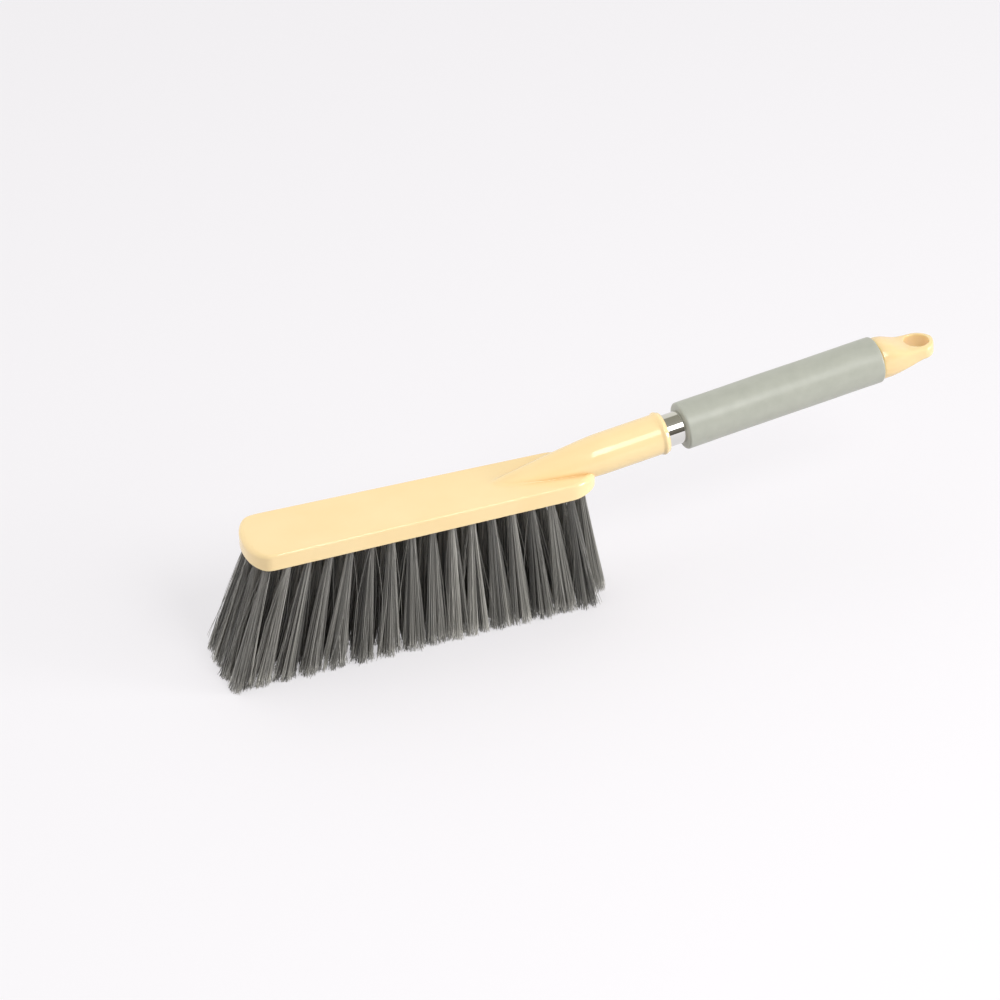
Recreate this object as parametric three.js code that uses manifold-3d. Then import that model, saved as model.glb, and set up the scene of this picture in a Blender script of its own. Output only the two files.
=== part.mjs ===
// Hand brush: a moulded block with a handle socket, four rows of leaning bristle tufts,
// a chromed tube handle, a foam grip and a moulded end cap with a hanging eye.
// Millimetres, +Z up, +X from the front of the block to the end of the handle.
import * as THREE from 'three';
import { mergeVertices } from 'three/addons/utils/BufferGeometryUtils.js';
import Module from 'manifold-3d';

// Clearance that every fitted piece keeps to its seat
const FIT_GAP = 0.3;

// Block: tapered sides, a shallow bow in front and a deep one behind
const BLOCK_LENGTH = 206;
const BLOCK_THICKNESS = 10;
const FRONT_WIDTH = 42.6;
const REAR_WIDTH = 38;
const FRONT_BOW = 7.8;
const REAR_BOW = 17.3;
const FRONT_BOW_FULLNESS = 2.4;
const REAR_BOW_FULLNESS = 2.6;
const BOW_CORNER_FULLNESS = 1.2;
const TOP_EDGE_RADIUS = 2;
const BOTTOM_EDGE_RADIUS = 0.5;

// Handle line: it crosses the start of the rear bow and rises towards the grip
const HANDLE_TILT_DEGREES = 7.7;
const HANDLE_AXIS_HEIGHT = 11;

// Tube
const TUBE_DIAMETER = 19;
const TUBE_WALL = 0.6;
const TUBE_INSERTION = 40;
const BARE_TUBE_LENGTH = 11.2;

// Socket: moulded with the block, with a rim bead at its mouth and a nose that fades into the block
const SOCKET_WALL = 2;
const SOCKET_REACH = 61;
const NOSE_LENGTH = 70;
const NOSE_END_RADIUS = 4.6;
const NOSE_EASE = 1.25;
const SLEEVE_START = 22;
const RIM_BEAD_WIDTH = 3.8;
const RIM_BEAD_HEIGHT = 0.8;

// Foam grip
const GRIP_DIAMETER = 27.5;
const GRIP_LENGTH = 124.4;
const GRIP_END_RADIUS = 1.2;

// End cap: a ribbed plug in the tube, a round collar on the grip and a flattened hanging loop
const PLUG_LENGTH = 22;
const PLUG_RIB_COUNT = 3;
const PLUG_RIB_WIDTH = 2.4;
const PLUG_RIB_HEIGHT = 0.5;
const PLUG_WALL = 2;
const CORE_DEPTH = 30;
const CAP_LENGTH = 36.8;
const COLLAR_DIAMETER = 24.4;
const NECK_LENGTH = 20;
const LOOP_DIAMETER = 19.8;
const LOOP_HEIGHT = 9.8;
const LOOP_DROP = 1.2;
const LOOP_DROOP_DEGREES = 6;
const LOOP_FULLNESS = 4;
const UNDERSIDE_EASE = 1.5;
const EYE_WIDTH = 13.6;
const EYE_LENGTH = 14.8;

// Bristles: four rows of tufts that fan out forwards, backwards and sideways
const BRISTLE_LENGTH = 74;
const TUFT_PITCH = 11.8;
const FRONT_TUFT_MARGIN = 9.5;
const REAR_TUFT_MARGIN = 19.5;
const INNER_ROW_LEAD = 2;
const OUTER_ROW_SHARE = 0.71;
const INNER_ROW_SHARE = 0.24;
const FRONT_LEAN_DEGREES = 17.5;
const REAR_LEAN_DEGREES = 7;
const SIDE_LEAN_DEGREES = 4.8;
const UPRIGHT_SHARE = 0.6;
const TUFT_RING_RADIUS = 1.85;
const TUFT_SPREAD = 2.6;
const STRANDS_IN_RING = 5;
const STRAND_RADIUS = 0.75;
const STRAND_SIDES = 3;
const BACKING_MARGIN = 0.5;
const BACKING_THICKNESS = 2.5;

// Facets
const ROUND_SEGMENTS = 40;
const BOW_SEGMENTS = 14;
const FILLET_STEPS = 4;
const CAP_STATIONS = 9;

const CREAM = { color: 0xfde6b4, roughness: 0.3, metalness: 0 };
const CHROME = { color: 0xd8d8d6, roughness: 0.1, metalness: 1 };
const FOAM = { color: 0xc0c1b4, roughness: 0.85, metalness: 0 };
const BRISTLE = { color: 0x55524d, roughness: 0.6, metalness: 0 };

const wasm = await Module();
wasm.setup();

const HANDLE_START = BLOCK_LENGTH - REAR_BOW;
const HANDLE_TILT = THREE.MathUtils.degToRad(HANDLE_TILT_DEGREES);
const BORE_RADIUS = TUBE_DIAMETER / 2 + FIT_GAP;
const SOCKET_RADIUS = BORE_RADIUS + SOCKET_WALL;
const GRIP_START = SOCKET_REACH + BARE_TUBE_LENGTH;
const GRIP_END = GRIP_START + GRIP_LENGTH;
const CAP_START = GRIP_END + FIT_GAP;
const PLUG_RADIUS = TUBE_DIAMETER / 2 - TUBE_WALL - FIT_GAP;
const BACKING_WIDTH = 2 * (TUFT_RING_RADIUS + STRAND_RADIUS + BACKING_MARGIN);

// A closed mesh as a solid that can be joined and cut
function toSolid(geometry) {
  const bare = geometry.index ? geometry.toNonIndexed() : geometry.clone();
  bare.deleteAttribute('normal');
  bare.deleteAttribute('uv');
  const merged = mergeVertices(bare, 1e-4);
  const mesh = new wasm.Mesh({
    numProp: 3,
    vertProperties: new Float32Array(merged.attributes.position.array),
    triVerts: new Uint32Array(merged.index.array),
  });
  return new wasm.Manifold(mesh);
}

// A solid back as a three.js geometry
function toGeometry(solid) {
  const mesh = solid.getMesh();
  const geometry = new THREE.BufferGeometry();
  geometry.setAttribute('position', new THREE.BufferAttribute(new Float32Array(mesh.vertProperties), 3));
  geometry.setIndex(new THREE.BufferAttribute(new Uint32Array(mesh.triVerts), 1));
  geometry.computeVertexNormals();
  return geometry;
}

// A skin through rings of equal point counts, closed at both ends; rings run counter-clockwise
// when seen from the end of the loft
function loft(rings) {
  const count = rings[0].length;
  const positions = [];
  const indices = [];
  for (const ring of rings) {
    for (const point of ring) {
      positions.push(point.x, point.y, point.z);
    }
  }
  for (let level = 0; level < rings.length - 1; level += 1) {
    for (let i = 0; i < count; i += 1) {
      const a = level * count + i;
      const b = level * count + (i + 1) % count;
      indices.push(a, b, b + count);
      indices.push(a, b + count, a + count);
    }
  }
  const last = (rings.length - 1) * count;
  for (let i = 1; i < count - 1; i += 1) {
    indices.push(0, i + 1, i);
    indices.push(last, last + i, last + i + 1);
  }
  const geometry = new THREE.BufferGeometry();
  geometry.setAttribute('position', new THREE.Float32BufferAttribute(positions, 3));
  geometry.setIndex(indices);
  return geometry;
}

// A profile of (radius, distance) points turned about the handle line, which runs along +X
function turned(profile) {
  const points = profile.map(([radius, distance]) => new THREE.Vector2(radius, distance));
  return new THREE.LatheGeometry(points, ROUND_SEGMENTS).rotateZ(-Math.PI / 2);
}

// Points of a quarter round in a profile, from one direction to the next about a centre
function quarter(centreRadius, centreDistance, radius, fromDegrees, toDegrees) {
  const points = [];
  for (let step = 0; step <= FILLET_STEPS; step += 1) {
    const angle = THREE.MathUtils.degToRad(
      THREE.MathUtils.lerp(fromDegrees, toDegrees, step / FILLET_STEPS));
    points.push([centreRadius + radius * Math.cos(angle), centreDistance + radius * Math.sin(angle)]);
  }
  return points;
}

// Plan outline of the block, drawn in by an inset; the bows are superellipse ends on tapered sides
function blockOutline(inset) {
  const points = [];
  const end = (tipX, bow, halfWidth, fullness, direction) => {
    for (let step = 0; step <= BOW_SEGMENTS; step += 1) {
      const angle = Math.PI * (step / BOW_SEGMENTS - 0.5);
      const across = Math.sign(Math.sin(angle)) * Math.abs(Math.sin(angle)) ** (2 / fullness);
      const along = Math.max(0, Math.cos(angle)) ** (2 / BOW_CORNER_FULLNESS);
      const x = tipX + direction * bow * (along - 1);
      points.push([x, direction * halfWidth * across]);
    }
  };
  end(BLOCK_LENGTH - inset, REAR_BOW, REAR_WIDTH / 2 - inset, REAR_BOW_FULLNESS, 1);
  end(inset, FRONT_BOW, FRONT_WIDTH / 2 - inset, FRONT_BOW_FULLNESS, -1);
  return points;
}

// Half the block's width at a station along it, on the line of its straight sides
function halfWidthAt(x) {
  const share = (x - FRONT_BOW) / (HANDLE_START - FRONT_BOW);
  return THREE.MathUtils.lerp(FRONT_WIDTH, REAR_WIDTH, share) / 2;
}

// Block body: rounded along its top and bottom edges
function blockBody() {
  const levels = [];
  for (let step = 0; step <= 1; step += 1) {
    levels.push([step * BOTTOM_EDGE_RADIUS, (1 - step) * BOTTOM_EDGE_RADIUS]);
  }
  for (let step = 0; step <= FILLET_STEPS; step += 1) {
    const angle = (Math.PI / 2) * (step / FILLET_STEPS);
    const z = BLOCK_THICKNESS - TOP_EDGE_RADIUS * (1 - Math.sin(angle));
    levels.push([z, TOP_EDGE_RADIUS * (1 - Math.cos(angle))]);
  }
  return loft(levels.map(([z, inset]) => blockOutline(inset).map(([x, y]) => new THREE.Vector3(x, y, z))));
}

// Place of the handle line in the block's frame
function handlePlacement() {
  const turn = new THREE.Quaternion().setFromAxisAngle(new THREE.Vector3(0, 1, 0), -HANDLE_TILT);
  const start = new THREE.Vector3(HANDLE_START, 0, HANDLE_AXIS_HEIGHT);
  return new THREE.Matrix4().compose(start, turn, new THREE.Vector3(1, 1, 1));
}

// Socket body: a nose that tapers down into the block and runs into a sleeve, with the rim bead at its mouth
function socketBody() {
  const profile = [[0, SLEEVE_START - NOSE_LENGTH]];
  for (let step = 0; step < 2 * FILLET_STEPS; step += 1) {
    const rest = 1 - step / (2 * FILLET_STEPS);
    const radius = THREE.MathUtils.lerp(SOCKET_RADIUS, NOSE_END_RADIUS, rest ** NOSE_EASE);
    profile.push([radius, SLEEVE_START - NOSE_LENGTH * rest]);
  }
  profile.push([SOCKET_RADIUS, SLEEVE_START]);
  for (let step = 0; step <= 2 * FILLET_STEPS; step += 1) {
    const share = step / (2 * FILLET_STEPS);
    const swell = RIM_BEAD_HEIGHT * Math.sin(Math.PI * share);
    profile.push([SOCKET_RADIUS + swell, SOCKET_REACH - RIM_BEAD_WIDTH * (1 - share)]);
  }
  profile.push([0, SOCKET_REACH]);
  return turned(profile).applyMatrix4(handlePlacement());
}

// Blind bore for the tube
function socketBore() {
  const floor = SOCKET_REACH - TUBE_INSERTION - FIT_GAP;
  const mouth = SOCKET_REACH + SOCKET_WALL;
  return turned([[0, floor], [BORE_RADIUS, floor], [BORE_RADIUS, mouth], [0, mouth]])
    .applyMatrix4(handlePlacement());
}

// Everything under the block that the socket's belly must not reach into
function belowBlock() {
  const depth = 2 * SOCKET_RADIUS;
  return new THREE.BoxGeometry(2 * BLOCK_LENGTH, 2 * FRONT_WIDTH, depth)
    .translate(BLOCK_LENGTH / 2, 0, BOTTOM_EDGE_RADIUS - depth / 2);
}

// The four rows, each with its tufts from front to rear; the inner rows start ahead of the outer ones and
// have one tuft more, in the rear bow
function tuftRows() {
  const start = FRONT_TUFT_MARGIN;
  const span = BLOCK_LENGTH - REAR_TUFT_MARGIN - start;
  const gaps = Math.round(span / TUFT_PITCH);
  const pitch = span / gaps;
  const row = (share, first, count) => {
    const tufts = [];
    for (let i = 0; i < count; i += 1) {
      const x = first + i * pitch;
      tufts.push(new THREE.Vector2(x, share * halfWidthAt(x)));
    }
    return tufts;
  };
  return [
    row(-OUTER_ROW_SHARE, start, gaps + 1),
    row(-INNER_ROW_SHARE, start - INNER_ROW_LEAD, gaps + 2),
    row(INNER_ROW_SHARE, start - INNER_ROW_LEAD, gaps + 2),
    row(OUTER_ROW_SHARE, start, gaps + 1),
  ];
}

// Strip with round ends along a row, from one height to another
function rowStrip(tufts, width, bottom, top) {
  const first = tufts[0];
  const last = tufts[tufts.length - 1];
  const length = last.distanceTo(first);
  const shape = new THREE.Shape();
  shape.absarc(length, 0, width / 2, -Math.PI / 2, Math.PI / 2);
  shape.absarc(0, 0, width / 2, Math.PI / 2, Math.PI * 1.5);
  const options = { depth: top - bottom, bevelEnabled: false, curveSegments: FILLET_STEPS * 2 };
  return new THREE.ExtrudeGeometry(shape, options)
    .rotateZ(last.clone().sub(first).angle())
    .translate(first.x, first.y, bottom);
}

// How far the tips of a tuft lie from its root, forwards or backwards and sideways
function tuftLean(tuft) {
  const start = FRONT_TUFT_MARGIN;
  const end = BLOCK_LENGTH - REAR_TUFT_MARGIN;
  const share = (tuft.x - start) / (end - start);
  const forwards = FRONT_LEAN_DEGREES * (1 - THREE.MathUtils.smoothstep(share, 0, UPRIGHT_SHARE));
  const backwards = REAR_LEAN_DEGREES * Math.max(0, (share - UPRIGHT_SHARE) / (1 - UPRIGHT_SHARE));
  const sideways = SIDE_LEAN_DEGREES * tuft.y / (OUTER_ROW_SHARE * halfWidthAt(tuft.x));
  const reach = (degrees) => BRISTLE_LENGTH * Math.tan(THREE.MathUtils.degToRad(degrees));
  return new THREE.Vector2(reach(backwards - forwards), reach(sideways));
}

// One strand: a slim prism from inside the backing to the trimmed tip
function strand(root, tip) {
  const section = (centre, z) => {
    const ring = [];
    for (let i = 0; i < STRAND_SIDES; i += 1) {
      const angle = (2 * Math.PI * i) / STRAND_SIDES;
      const x = centre.x + STRAND_RADIUS * Math.cos(angle);
      const y = centre.y + STRAND_RADIUS * Math.sin(angle);
      ring.push(new THREE.Vector3(x, y, z));
    }
    return ring;
  };
  const seat = BACKING_THICKNESS / 2;
  const buried = root.clone().sub(tip).multiplyScalar(seat / BRISTLE_LENGTH).add(root);
  return loft([section(tip, -BRISTLE_LENGTH), section(buried, seat)]);
}

// A row of tufts on its slice of backing: each tuft has one strand in the middle and a ring round it
function bristleRow(tufts) {
  let row = toSolid(rowStrip(tufts, BACKING_WIDTH, 0, BACKING_THICKNESS));
  for (const tuft of tufts) {
    const lean = tuftLean(tuft);
    for (let i = 0; i <= STRANDS_IN_RING; i += 1) {
      const angle = (2 * Math.PI * i) / STRANDS_IN_RING;
      const radius = i < STRANDS_IN_RING ? TUFT_RING_RADIUS : 0;
      const offset = new THREE.Vector2(radius * Math.cos(angle), radius * Math.sin(angle));
      const root = tuft.clone().add(offset);
      const tip = tuft.clone().add(lean).addScaledVector(offset, TUFT_SPREAD);
      row = row.add(toSolid(strand(root, tip)));
    }
  }
  return toGeometry(row);
}

// Block and socket in one moulding, with a seat for each row's backing and the bore for the tube
function brushBlock() {
  const socket = toSolid(socketBody()).subtract(toSolid(belowBlock()));
  let block = toSolid(blockBody()).add(socket).subtract(toSolid(socketBore()));
  for (const tufts of tuftRows()) {
    const seat = rowStrip(tufts, BACKING_WIDTH + 2 * FIT_GAP, -BACKING_THICKNESS, BACKING_THICKNESS + FIT_GAP);
    block = block.subtract(toSolid(seat));
  }
  return toGeometry(block);
}

// Thin-walled tube from the floor of the socket to the end of the grip
function handleTube() {
  const outer = TUBE_DIAMETER / 2;
  const inner = outer - TUBE_WALL;
  const start = SOCKET_REACH - TUBE_INSERTION;
  return turned([[inner, start], [outer, start], [outer, GRIP_END], [inner, GRIP_END], [inner, start]]);
}

// Foam sleeve with soft ends
function foamGrip() {
  const outer = GRIP_DIAMETER / 2;
  const round = Math.min(GRIP_END_RADIUS, outer - BORE_RADIUS - FIT_GAP);
  return turned([
    [BORE_RADIUS, GRIP_START],
    ...quarter(outer - round, GRIP_START + round, round, -90, 0),
    ...quarter(outer - round, GRIP_END - round, round, 0, 90),
    [BORE_RADIUS, GRIP_END],
    [BORE_RADIUS, GRIP_START],
  ]);
}

// Plug of the end cap: ribbed, inside the tube
function capPlug() {
  const start = CAP_START - PLUG_LENGTH;
  const coreRadius = PLUG_RADIUS - PLUG_RIB_HEIGHT;
  const pitch = PLUG_LENGTH / (PLUG_RIB_COUNT + 1);
  const profile = [[0, start], [coreRadius, start]];
  for (let i = 0; i < PLUG_RIB_COUNT; i += 1) {
    const foot = start + (i + 0.5) * pitch;
    profile.push([coreRadius, foot]);
    profile.push([PLUG_RADIUS, foot + PLUG_RIB_WIDTH / 2]);
    profile.push([PLUG_RADIUS, foot + PLUG_RIB_WIDTH]);
    profile.push([coreRadius, foot + PLUG_RIB_WIDTH]);
  }
  profile.push([coreRadius, CAP_START + PLUG_WALL], [0, CAP_START + PLUG_WALL]);
  return turned(profile);
}

// Hollow core of the moulding, open towards the tube
function capCore() {
  const radius = PLUG_RADIUS - PLUG_RIB_HEIGHT - PLUG_WALL;
  const mouth = CAP_START - PLUG_LENGTH - PLUG_WALL;
  const floor = CAP_START - PLUG_LENGTH + CORE_DEPTH;
  return turned([[0, mouth], [radius, mouth], [radius, floor], [0, floor]]);
}

// Visible part of the end cap, lofted from the round collar to the flat, round-ended loop
function capShell() {
  const collarRadius = COLLAR_DIAMETER / 2;
  const loopRadius = LOOP_DIAMETER / 2;
  const loopCentre = CAP_LENGTH - loopRadius;
  const droop = Math.tan(THREE.MathUtils.degToRad(LOOP_DROOP_DEGREES));
  const section = (along, halfWidth) => {
    const flatten = THREE.MathUtils.smoothstep(along, 0, NECK_LENGTH);
    const taper = Math.min(1, along / loopCentre) ** UNDERSIDE_EASE;
    const lift = (loopCentre - along) * droop - LOOP_DROP;
    const top = THREE.MathUtils.lerp(collarRadius, lift + LOOP_HEIGHT / 2, flatten);
    const bottom = THREE.MathUtils.lerp(collarRadius, LOOP_HEIGHT / 2 - lift, taper);
    const fullness = THREE.MathUtils.lerp(2, LOOP_FULLNESS, Math.min(1, along / NECK_LENGTH));
    const ring = [];
    for (let i = 0; i < ROUND_SEGMENTS; i += 1) {
      const angle = (2 * Math.PI * i) / ROUND_SEGMENTS;
      const across = Math.sign(Math.cos(angle)) * Math.abs(Math.cos(angle)) ** (2 / fullness);
      const upwards = Math.sign(Math.sin(angle)) * Math.abs(Math.sin(angle)) ** (2 / fullness);
      const height = upwards > 0 ? top : bottom;
      ring.push(new THREE.Vector3(CAP_START + along, halfWidth * across, height * upwards));
    }
    return ring;
  };
  const rings = [];
  for (let station = 0; station < CAP_STATIONS; station += 1) {
    const along = loopCentre * station / CAP_STATIONS;
    const blend = THREE.MathUtils.smoothstep(along, 0, loopCentre);
    rings.push(section(along, THREE.MathUtils.lerp(collarRadius, loopRadius, blend)));
  }
  for (let station = 0; station < CAP_STATIONS; station += 1) {
    const angle = (Math.PI / 2) * (station / CAP_STATIONS);
    rings.push(section(loopCentre + loopRadius * Math.sin(angle), loopRadius * Math.cos(angle)));
  }
  rings.push(section(CAP_LENGTH, loopRadius / CAP_STATIONS / 2));
  return loft(rings);
}

// Oval eye through the loop
function hangingEye() {
  const shape = new THREE.Shape();
  shape.absellipse(0, 0, EYE_LENGTH / 2, EYE_WIDTH / 2, 0, 2 * Math.PI);
  const options = { depth: 2 * COLLAR_DIAMETER, bevelEnabled: false, curveSegments: Math.round(ROUND_SEGMENTS / 2) };
  return new THREE.ExtrudeGeometry(shape, options)
    .translate(CAP_START + CAP_LENGTH - LOOP_DIAMETER / 2, 0, -COLLAR_DIAMETER);
}

// End cap: plug, neck and loop in one moulding
function endCap() {
  const body = toSolid(capPlug()).add(toSolid(capShell()));
  return toGeometry(body.subtract(toSolid(capCore())).subtract(toSolid(hangingEye())));
}

function piece(name, geometry, finish) {
  const mesh = new THREE.Mesh(geometry, new THREE.MeshStandardMaterial(finish));
  mesh.name = name;
  return mesh;
}

// The whole brush, standing on its bristle tips with its middle over the origin
const brush = new THREE.Group();
brush.add(piece('brush_block', brushBlock(), CREAM));
tuftRows().forEach((tufts, i) => {
  brush.add(piece(`bristle_row_${i + 1}`, bristleRow(tufts), BRISTLE));
});

const handle = new THREE.Group();
handle.add(piece('handle_tube', handleTube(), CHROME));
handle.add(piece('foam_grip', foamGrip(), FOAM));
handle.add(piece('end_cap', endCap(), CREAM));
handle.applyMatrix4(handlePlacement());
brush.add(handle);

const box = new THREE.Box3().setFromObject(brush, true);
const middle = box.getCenter(new THREE.Vector3());
brush.position.set(-middle.x, -middle.y, -box.min.z);

export default brush;
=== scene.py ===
# Hand brush: a cream block with a tilted handle socket, four rows of dark bristle tufts, a chromed tube,
# a foam grip and an end cap with a hanging eye. Metres, +Z up, standing on its bristle tips.
import math

import bpy
import numpy
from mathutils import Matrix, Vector


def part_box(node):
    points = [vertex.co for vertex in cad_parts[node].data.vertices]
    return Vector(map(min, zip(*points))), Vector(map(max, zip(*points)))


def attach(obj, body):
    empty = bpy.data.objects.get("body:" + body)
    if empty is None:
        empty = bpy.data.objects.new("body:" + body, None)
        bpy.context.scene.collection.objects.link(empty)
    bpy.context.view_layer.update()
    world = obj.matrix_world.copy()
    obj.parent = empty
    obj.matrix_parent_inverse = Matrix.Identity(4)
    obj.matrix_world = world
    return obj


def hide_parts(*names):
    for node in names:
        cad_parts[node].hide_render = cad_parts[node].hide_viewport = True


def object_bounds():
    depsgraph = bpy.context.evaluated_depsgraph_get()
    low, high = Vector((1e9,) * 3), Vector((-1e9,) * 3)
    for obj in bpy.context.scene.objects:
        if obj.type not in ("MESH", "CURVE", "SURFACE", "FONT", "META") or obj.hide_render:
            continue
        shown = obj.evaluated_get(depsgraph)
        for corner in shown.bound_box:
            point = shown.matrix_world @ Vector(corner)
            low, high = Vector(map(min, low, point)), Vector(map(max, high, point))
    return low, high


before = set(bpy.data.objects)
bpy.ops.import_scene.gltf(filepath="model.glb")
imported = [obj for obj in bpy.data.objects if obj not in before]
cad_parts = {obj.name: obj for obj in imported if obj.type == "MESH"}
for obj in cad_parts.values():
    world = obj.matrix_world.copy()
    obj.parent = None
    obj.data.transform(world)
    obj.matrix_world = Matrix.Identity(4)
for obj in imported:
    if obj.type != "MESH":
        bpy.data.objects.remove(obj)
solid_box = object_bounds()
scene = bpy.context.scene
scene.view_settings.view_transform = "Standard"

# The camera stands in front of the brush and to its left, and looks down on it at 34 degrees through a
# long lens, so that the handle runs off to the upper right.
FRONT_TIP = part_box("brush_block")[0].x
CAMERA_BEFORE_TIP = 0.2981
CAMERA_DISTANCE = 1.1203
CAMERA_HEIGHT = 0.8899
LINE_OF_SIGHT = (0.3074, 0.7685, -0.5612)


def aim(piece, direction):
    """Turns a camera or a lamp to look along a direction."""
    piece.rotation_euler = Vector(direction).to_track_quat("-Z", "Y").to_euler()


bpy.ops.object.camera_add(location=(FRONT_TIP - CAMERA_BEFORE_TIP, -CAMERA_DISTANCE, CAMERA_HEIGHT))
camera = bpy.context.object
aim(camera, LINE_OF_SIGHT)
camera.data.sensor_width = 36
camera.data.lens = 93.8
scene.camera = camera

# The studio: a pale paper floor in soft light that is strongest from above and behind. Gloss sees the
# studio as it is built: a pale backdrop behind, a dim ceiling, the softbox wall in front and a dark gap
# under it.
BRIGHT_SIDE = (-0.42, 0.65, 0.63)
DIMMEST = 0.05
BRIGHTEST = 1.22
BACKDROP = "#F5F5F5"
MIX_A = 6
MIX_B = 7
MIX_RESULT = 2


def colour(code):
    """Linear colour of an sRGB hex code."""
    channels = [int(code[i:i + 2], 16) / 255 for i in (1, 3, 5)]
    return [c / 12.92 if c <= 0.04045 else ((c + 0.055) / 1.055) ** 2.4 for c in channels] + [1]


def add_node(tree, kind, inputs=None, **settings):
    """A new node with its settings; an input is another node's socket or a plain value."""
    node = tree.nodes.new("ShaderNode" + kind)
    for name, value in settings.items():
        setattr(node, name, value)
    for socket, source in (inputs or {}).items():
        if isinstance(source, bpy.types.NodeSocket):
            tree.links.new(source, node.inputs[socket])
        else:
            node.inputs[socket].default_value = source
    return node


world = bpy.data.worlds.new("studio")
scene.world = world
world.use_nodes = True
tree = world.node_tree
tree.nodes.clear()
outwards = add_node(tree, "TexCoord").outputs["Generated"]
facing = add_node(tree, "VectorMath", {0: outwards, 1: BRIGHT_SIDE}, operation="DOT_PRODUCT")
soft_light = add_node(tree, "MapRange", {
    "Value": facing.outputs["Value"],
    "To Min": DIMMEST,
    "To Max": BRIGHTEST,
})

# What gloss sees, from the backdrop over the ceiling and down the front
direction = add_node(tree, "SeparateXYZ", {0: outwards})
forwards = add_node(tree, "Math", {0: direction.outputs["Y"], 1: -1.0}, operation="MULTIPLY")
tilt = add_node(tree, "Math", {0: forwards.outputs[0], 1: direction.outputs["Z"]}, operation="ARCTAN2")
around = add_node(tree, "MapRange", {
    "Value": tilt.outputs[0],
    "From Min": -math.pi / 2,
    "From Max": math.pi / 2,
})
bands = add_node(tree, "ValToRGB", {0: around.outputs[0]})
backdrop_stops = [(0.0, "#F2F1EA"), (0.27, "#EFEEE4")]
ceiling_stops = [(0.31, "#A09E8F"), (0.55, "#A6A497")]
front_stops = [(0.72, "#BDBBB2"), (0.8, "#918E85"), (0.88, "#7E7A72"), (1.0, "#5E5A52")]
for position, code in ceiling_stops + front_stops:
    bands.color_ramp.elements.new(position)
stops = backdrop_stops + ceiling_stops + front_stops
for element, (position, code) in zip(bands.color_ramp.elements, stops):
    element.position = position
    element.color = colour(code)
rays = add_node(tree, "LightPath").outputs
lit = add_node(tree, "Mix", {
    0: rays["Is Glossy Ray"],
    MIX_A: soft_light.outputs[0],
    MIX_B: bands.outputs[0],
}, data_type="RGBA")
seen = add_node(tree, "Mix", {
    0: rays["Is Camera Ray"],
    MIX_A: lit.outputs[MIX_RESULT],
    MIX_B: colour(BACKDROP),
}, data_type="RGBA")
sky = add_node(tree, "Background", {"Color": seen.outputs[MIX_RESULT]})
add_node(tree, "OutputWorld", {0: sky.outputs[0]})

# Two strip softboxes side by side in front: the left one draws the white streak on the socket and the
# chrome, the right one the thin line on the block's near edge
SOFTBOX_DISTANCE = 0.983
SOFTBOX_HEIGHT = 1.097
SOFTBOX_LENGTH = 0.67
SOFTBOX_AIM = (-0.1, 0.95, -1.0)
for across, width, power in [(0.155, 0.22, 3.6), (0.395, 0.26, 2.8)]:
    bpy.ops.object.light_add(type="AREA", location=(across, -SOFTBOX_DISTANCE, SOFTBOX_HEIGHT))
    softbox = bpy.context.object
    aim(softbox, SOFTBOX_AIM)
    softbox.data.shape = "RECTANGLE"
    softbox.data.size = width
    softbox.data.size_y = SOFTBOX_LENGTH
    softbox.data.energy = power

# A wide window and a low lamp on the right, and a weak fill from the front end; only the low lamp shows
# in gloss
WINDOW = ((2.53, -2.74, 1.94), 4.0, 78, False)
LOW_LAMP = ((3.65, -1.93, 0.6), 1.4, 90, True)
FRONT_FILL = ((-4.05, 0.3, 0.85), 2.5, 44, False)
for place, width, power, shows_in_gloss in [WINDOW, LOW_LAMP, FRONT_FILL]:
    bpy.ops.object.light_add(type="AREA", location=place)
    lamp = bpy.context.object
    aim(lamp, -Vector(place))
    lamp.data.size = width
    lamp.data.energy = power
    lamp.visible_glossy = shows_in_gloss

# Seamless paper: matte and pale, washed towards white as in a bright studio, with the shadow left on it
FLOOR_SIZE = 8
FLOOR_WASH = 0.3
bpy.ops.mesh.primitive_plane_add(size=FLOOR_SIZE)
floor = bpy.context.object
floor.name = "floor"
paper = bpy.data.materials.new("seamless_paper")
paper.use_nodes = True
tree = paper.node_tree
tree.nodes.clear()
shaded = add_node(tree, "BsdfDiffuse", {"Color": colour("#C6C4C6")})
blown = add_node(tree, "Emission", {"Color": colour("#FFFDFF"), "Strength": 1.8})
rays = add_node(tree, "LightPath").outputs
direct = add_node(tree, "Math", {0: rays["Is Camera Ray"], 1: rays["Is Glossy Ray"]}, operation="MAXIMUM")
washed = add_node(tree, "Math", {0: direct.outputs[0], 1: FLOOR_WASH}, operation="MULTIPLY")
seen = add_node(tree, "MixShader", {0: washed.outputs[0], 1: shaded.outputs[0], 2: blown.outputs[0]})
add_node(tree, "OutputMaterial", {0: seen.outputs[0]})
floor.data.materials.append(paper)


# The brush block: one injection moulding of glossy cream polypropylene. A flat slab with a shallow bow in
# front and a deep one behind carries the tufts in blind holes, and its socket swells out of the flat top
# as a long nose and ends in a rounded bead around the bore for the tube.
MM = 0.001
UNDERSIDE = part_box("brush_block")[0].z
BLOCK_LENGTH = 206 * MM
BLOCK_THICKNESS = 10 * MM
FRONT_HALF_WIDTH = 21.3 * MM
REAR_HALF_WIDTH = 19 * MM
FRONT_BOW = 7.8 * MM
REAR_BOW = 17.3 * MM
FRONT_FULLNESS = 2.4
REAR_FULLNESS = 2.6
BOW_ROUNDNESS = 1.2
HANDLE_START = BLOCK_LENGTH - REAR_BOW
PLAN_POINTS = 720


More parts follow.
